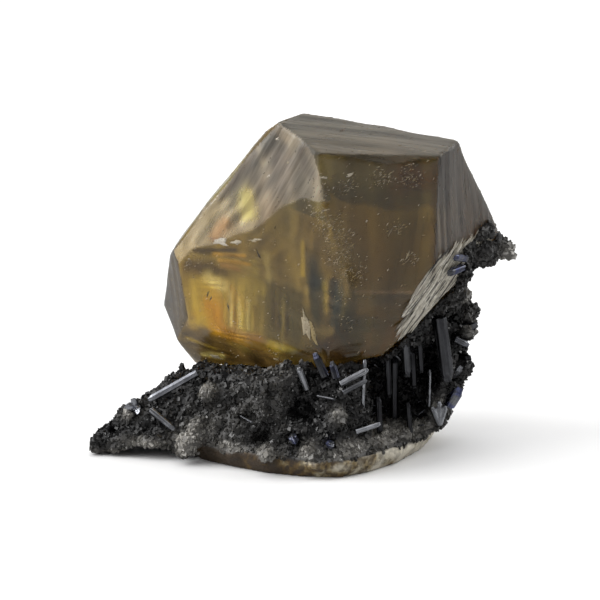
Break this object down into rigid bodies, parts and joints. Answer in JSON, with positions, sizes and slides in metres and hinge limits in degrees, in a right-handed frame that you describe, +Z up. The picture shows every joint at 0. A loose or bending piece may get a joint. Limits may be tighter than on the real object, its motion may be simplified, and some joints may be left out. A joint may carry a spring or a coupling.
{
  "type": "mineral specimen",
  "caption": "Large clear olive-gold calcite crystal on dark drusy rock, with small metallic stibnite prisms around and below it.",
  "frame": {"origin": "a point in the middle of the flat cut that the rock rests on", "axes": "+Z up, -Y towards the best side, +X to the viewer's right"},
  "size_m": [0.0614, 0.0326, 0.0503],
  "materials": {
    "calcite": "clear olive gold, glossy faces with fine growth lines",
    "rock": "dark grey sparkling druse, paler smooth underside",
    "stibnite": "lead grey metallic, lengthwise striated, some blue tarnish"
  },
  "bodies": {
    "root": {"calcite_crystal": "calcite", "matrix_rock": "rock", "stibnite_blade_long": "stibnite", "stibnite_blade_short": "stibnite", "stibnite_rosette": "stibnite", "stibnite_tongue_stub": "stibnite", "stibnite_front_post": "stibnite", "stibnite_edge_left": "stibnite", "stibnite_edge_right": "stibnite", "stibnite_pair_upper": "stibnite", "stibnite_pair_lower": "stibnite", "stibnite_thin_post": "stibnite", "stibnite_low_cross": "stibnite", "stibnite_needle_left": "stibnite", "stibnite_needle_right": "stibnite", "stibnite_low_left": "stibnite", "stibnite_low_right": "stibnite", "stibnite_column_front": "stibnite", "stibnite_column_slim": "stibnite", "stibnite_column_large": "stibnite", "stibnite_column_bright": "stibnite", "stibnite_column_left": "stibnite", "stibnite_column_back": "stibnite", "stibnite_column_dark": "stibnite", "stibnite_column_stub": "stibnite", "stibnite_column_small": "stibnite", "stibnite_wall_upper": "stibnite", "stibnite_wall_ledge": "stibnite", "stibnite_wall_stub": "stibnite", "stibnite_wall_pale": "stibnite", "stibnite_wall_blue": "stibnite", "stibnite_wall_spray": "stibnite", "stibnite_side_upper": "stibnite", "stibnite_side_lower": "stibnite", "stibnite_back_left": "stibnite", "stibnite_back_middle": "stibnite", "stibnite_back_right": "stibnite", "stibnite_back_corner": "stibnite"}
  },
  "joints": []
}
